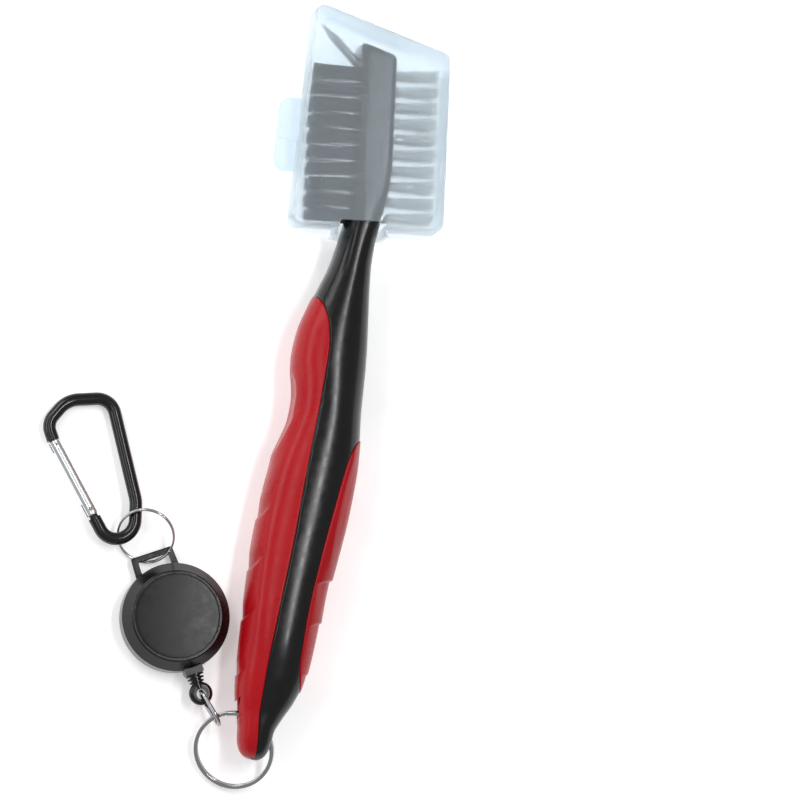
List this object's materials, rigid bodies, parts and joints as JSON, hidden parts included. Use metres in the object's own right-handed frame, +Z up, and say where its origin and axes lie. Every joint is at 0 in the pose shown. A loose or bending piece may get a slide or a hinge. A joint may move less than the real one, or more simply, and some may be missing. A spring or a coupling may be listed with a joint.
{
  "type": "club groove brush",
  "caption": "Two-sided golf club brush with bristle cover, groove spike, rubber-gripped handle, and a retractable cord reel on a carabiner.",
  "frame": {"origin": "on the surface it lies on, at the foot of the mount rest_face under the brush head's centre", "axes": "+Z up from that surface, +Y along the brush head towards its tip, +X towards the wire bristles"},
  "size_m": [0.1142, 0.2315, 0.0253],
  "materials": {
    "handle_black": "satin moulded polypropylene",
    "grip_red": "soft matt thermoplastic rubber",
    "steel_bright": "bright plated steel",
    "nylon_black": "nylon filament",
    "wire_silver": "crimped fine wire",
    "cover_clear": "frosted translucent polypropylene",
    "ring_steel": "nickel-plated steel",
    "reel_black": "gloss moulded plastic",
    "reel_disc": "satin domed label disc",
    "spool_white": "acetal",
    "cord_black": "braided nylon",
    "spring_steel": "blued spring steel",
    "carabiner_black": "black anodised, glossy",
    "gate_silver": "bright drawn tube"
  },
  "bodies": {
    "brush": {"handle_core": "handle_black", "palm_grip": "grip_red", "finger_grip": "grip_red", "groove_spike": "steel_bright", "nylon_tufts": "nylon_black", "nylon_corner_tufts": "nylon_black", "wire_tufts": "wire_silver", "wire_corner_tufts": "wire_silver", "nylon_anchors": "steel_bright", "wire_anchors": "steel_bright", "cover_back_shell": "cover_clear", "cover_hinge_web": "cover_clear"},
    "cover_lid": {"cover_front_shell": "cover_clear"},
    "key_ring": {"key_ring": "ring_steel"},
    "wire_link": {"wire_link": "ring_steel"},
    "cord_end": {"cord_end_eyelet": "reel_black", "cord_lead": "cord_black"},
    "reel": {"reel_back_case": "reel_black", "reel_front_case": "reel_black", "reel_face_disc": "reel_disc", "power_spring": "spring_steel"},
    "spool": {"spool_drum": "spool_white", "wound_cord": "cord_black"},
    "small_ring": {"small_ring": "ring_steel"},
    "carabiner": {"carabiner_body": "carabiner_black", "gate_pivot_pin": "steel_bright"},
    "gate": {"carabiner_gate": "gate_silver", "gate_latch_pin": "steel_bright", "gate_plunger": "spring_steel", "gate_spring": "spring_steel"}
  },
  "joints": [
    {"name": "cover_open", "type": "hinge", "parent": "brush", "child": "cover_lid", "pos_m": [0.02105, 0, 0.0125], "axis": [0, 1, 0], "range_deg": [0, 170], "deforming": ["cover_hinge_web"]},
    {"name": "key_ring_swing", "type": "hinge", "parent": "brush", "child": "key_ring", "pos_m": [-0.02693, -0.17385, 0.0119], "axis": [0.832, -0.5548, 0], "range_deg": [-105, 40]},
    {"name": "link_round_key_ring", "type": "hinge", "parent": "key_ring", "child": "wire_link", "pos_m": [-0.03249, -0.18219, 0.00668], "axis": [-0.2562, -0.3842, 0.887], "range_deg": [0, 150]},
    {"name": "eyelet_swing", "type": "hinge", "parent": "wire_link", "child": "cord_end", "pos_m": [-0.04298, -0.16573, 0.0055], "axis": [0, 0, 1], "range_deg": [0, 60]},
    {"name": "cord_pull", "type": "slide", "parent": "cord_end", "child": "reel", "axis": [-0.3665, 0.9304, 0], "range_m": [0, 0.6], "stiffness_N_per_m": 2, "springref_m": -0.3},
    {"name": "spool_spin", "type": "hinge", "parent": "reel", "child": "spool", "pos_m": [-0.0515, -0.1441, 0.0046], "axis": [0, 0, 1], "range_deg": [0, 2900]},
    {"name": "small_ring_swing", "type": "hinge", "parent": "reel", "child": "small_ring", "pos_m": [-0.05871, -0.12579, 0.00235], "axis": [0.9304, 0.3665, 0], "range_deg": [0, 30]},
    {"name": "carabiner_round_small_ring", "type": "hinge", "parent": "small_ring", "child": "carabiner", "pos_m": [-0.06116, -0.12039, 0.00495], "axis": [-0.2095, -0.4705, 0.8572], "range_deg": [-40, 3]},
    {"name": "gate_open", "type": "hinge", "parent": "carabiner", "child": "gate", "pos_m": [-0.07799, -0.11365, 0.00479], "axis": [0.022, -0.0789, -0.9966], "range_deg": [0, 25], "stiffness_Nm_per_rad": 0.02, "springref_deg": -20.05}
  ],
  "couplings": [
    {"joint": "spool_spin", "follows": "cord_pull", "rad_per_m": 83.333}
  ]
}
